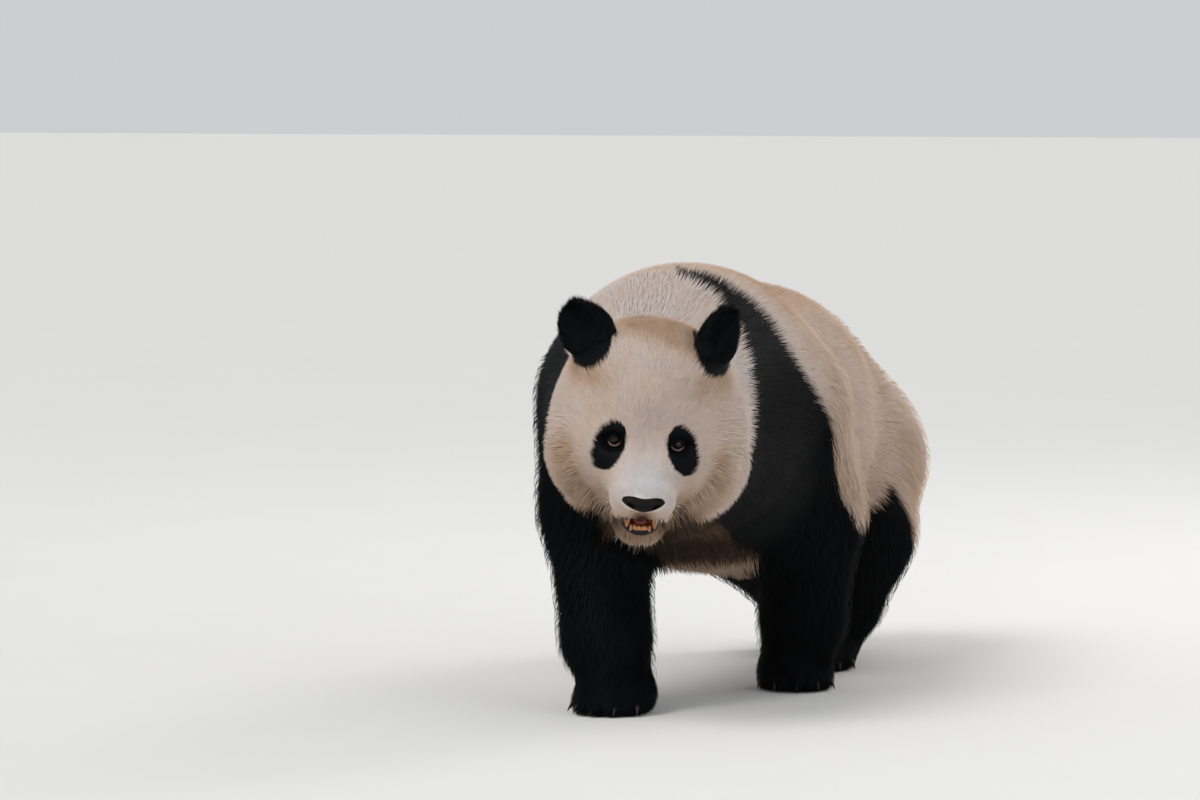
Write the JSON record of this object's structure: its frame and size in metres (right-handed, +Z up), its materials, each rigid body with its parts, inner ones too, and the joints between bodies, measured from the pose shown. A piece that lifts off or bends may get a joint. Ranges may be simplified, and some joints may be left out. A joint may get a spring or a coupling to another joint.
{
  "type": "giant panda animal figure",
  "caption": "Life-size still giant panda walking with its head low and turned a little to its left, mouth slightly open, standing on flat soles.",
  "frame": {"origin": "on the floor under the middle of the whole model", "axes": "+Z up; the animal walks toward -Y, its left side is +X, and its body's length runs along Y"},
  "size_m": [0.547, 1.6466, 0.7698],
  "materials": {
    "white_coat": "matt, dense cream-white fur, stained tan in places",
    "black_coat": "matt, dense brown-black fur with a faint cool sheen",
    "nose_leather": "pebbled, slightly moist",
    "eye": "wet gloss",
    "mouth": "moist",
    "tongue": "moist",
    "teeth": "glossy, stained yellow",
    "claws": "satin horn"
  },
  "bodies": {
    "root": {"belly": "white_coat", "ear_left": "black_coat", "ear_right": "black_coat", "eye_left": "eye", "eye_right": "eye", "forearm_left": "black_coat", "forearm_right": "black_coat", "forepaw_left": "black_coat", "forepaw_right": "black_coat", "head": "white_coat", "hindpaw_left": "black_coat", "hindpaw_right": "black_coat", "hips": "white_coat", "lower_jaw": "white_coat", "neck": "white_coat", "nose": "nose_leather", "shank_left": "black_coat", "shank_right": "black_coat", "shoulders": "black_coat", "tail": "white_coat", "thigh_left": "black_coat", "thigh_right": "black_coat", "tongue": "tongue", "upper_arm_left": "black_coat", "upper_arm_right": "black_coat"}
  },
  "joints": []
}
